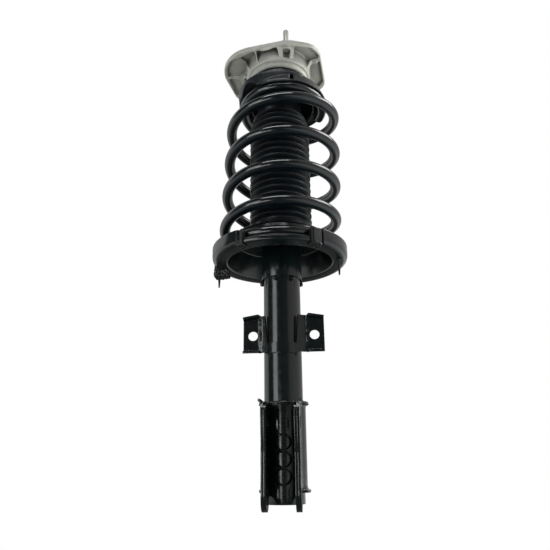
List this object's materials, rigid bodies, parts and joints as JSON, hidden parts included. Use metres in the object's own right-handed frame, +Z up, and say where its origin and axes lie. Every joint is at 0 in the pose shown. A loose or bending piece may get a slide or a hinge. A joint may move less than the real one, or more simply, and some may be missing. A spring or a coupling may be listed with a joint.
{
  "type": "strut assembly",
  "caption": "Suspension strut: sliding damper in a coil spring with dust boot, swivelling top mount with studs, link bracket and open knuckle bracket.",
  "frame": {"origin": "centre of the three-stud circle on the top mount's upper face, which lies on the piston rod's axis", "axes": "+Z up along the piston rod, out of the top of the mount; +X along the knuckle bolts; the knuckle bracket opens towards -Y"},
  "size_m": [0.1942, 0.1923, 0.6932],
  "materials": {
    "cast_aluminium": "satin",
    "zinc_steel": "satin",
    "bearing_steel": "polished",
    "chromed_rod": "polished",
    "machined_steel": "satin",
    "sintered_iron": "matte",
    "black_paint": "gloss",
    "spring_coat": "gloss",
    "black_rubber": "matte",
    "boot_rubber": "satin",
    "glass_filled_nylon": "matte",
    "cage_plastic": "matte",
    "foam": "matte",
    "band_plastic": "matte",
    "bronze": "satin"
  },
  "bodies": {
    "top_mount": {"mount_housing": "cast_aluminium", "mount_studs": "zinc_steel", "mount_rubber": "black_rubber", "mount_sleeve": "machined_steel", "rebound_washer": "zinc_steel", "rod_nut": "zinc_steel", "bearing_cap": "glass_filled_nylon", "bearing_upper_race": "bearing_steel", "bump_stop": "foam", "bump_stop_cup": "zinc_steel", "piston_rod": "chromed_rod", "rebound_collar": "machined_steel", "rebound_bumper": "band_plastic", "piston": "sintered_iron", "piston_band": "band_plastic", "valve_shims": "bearing_steel", "piston_nut": "machined_steel"},
    "bearing": {"bearing_balls": "bearing_steel", "bearing_cage": "cage_plastic"},
    "spring_seat": {"bearing_lower_race": "bearing_steel", "upper_spring_seat": "glass_filled_nylon", "upper_isolator": "black_rubber", "coil_spring": "spring_coat", "dust_boot": "boot_rubber"},
    "damper": {"rod_guide": "sintered_iron", "guide_bushing": "bronze", "rod_seal": "black_rubber", "striker_cap": "machined_steel", "pressure_tube": "machined_steel", "base_valve": "sintered_iron", "strut_tube": "black_paint", "base_cup": "black_paint", "lower_spring_seat": "black_paint", "seat_weld": "black_paint", "lower_isolator": "black_rubber", "link_bracket": "black_paint", "knuckle_bracket_outer": "black_paint", "knuckle_bracket_inner": "black_paint", "bracket_weld": "black_paint"}
  },
  "joints": [
    {"name": "steer_swivel", "type": "hinge", "parent": "top_mount", "child": "spring_seat", "pos_m": [0, 0, -0.046], "axis": [0, 0, 1], "range_deg": [-38, 38]},
    {"name": "ball_roll", "type": "hinge", "parent": "top_mount", "child": "bearing", "pos_m": [0, 0, -0.046], "axis": [0, 0, 1], "range_deg": [-19, 19]},
    {"name": "strut_travel", "type": "slide", "parent": "spring_seat", "child": "damper", "axis": [0, 0, 1], "range_m": [0, 0.15], "stiffness_N_per_m": 28000, "springref_m": -0.06, "deforming": ["coil_spring", "dust_boot"]}
  ],
  "couplings": [
    {"joint": "ball_roll", "follows": "steer_swivel", "ratio": 0.5}
  ]
}
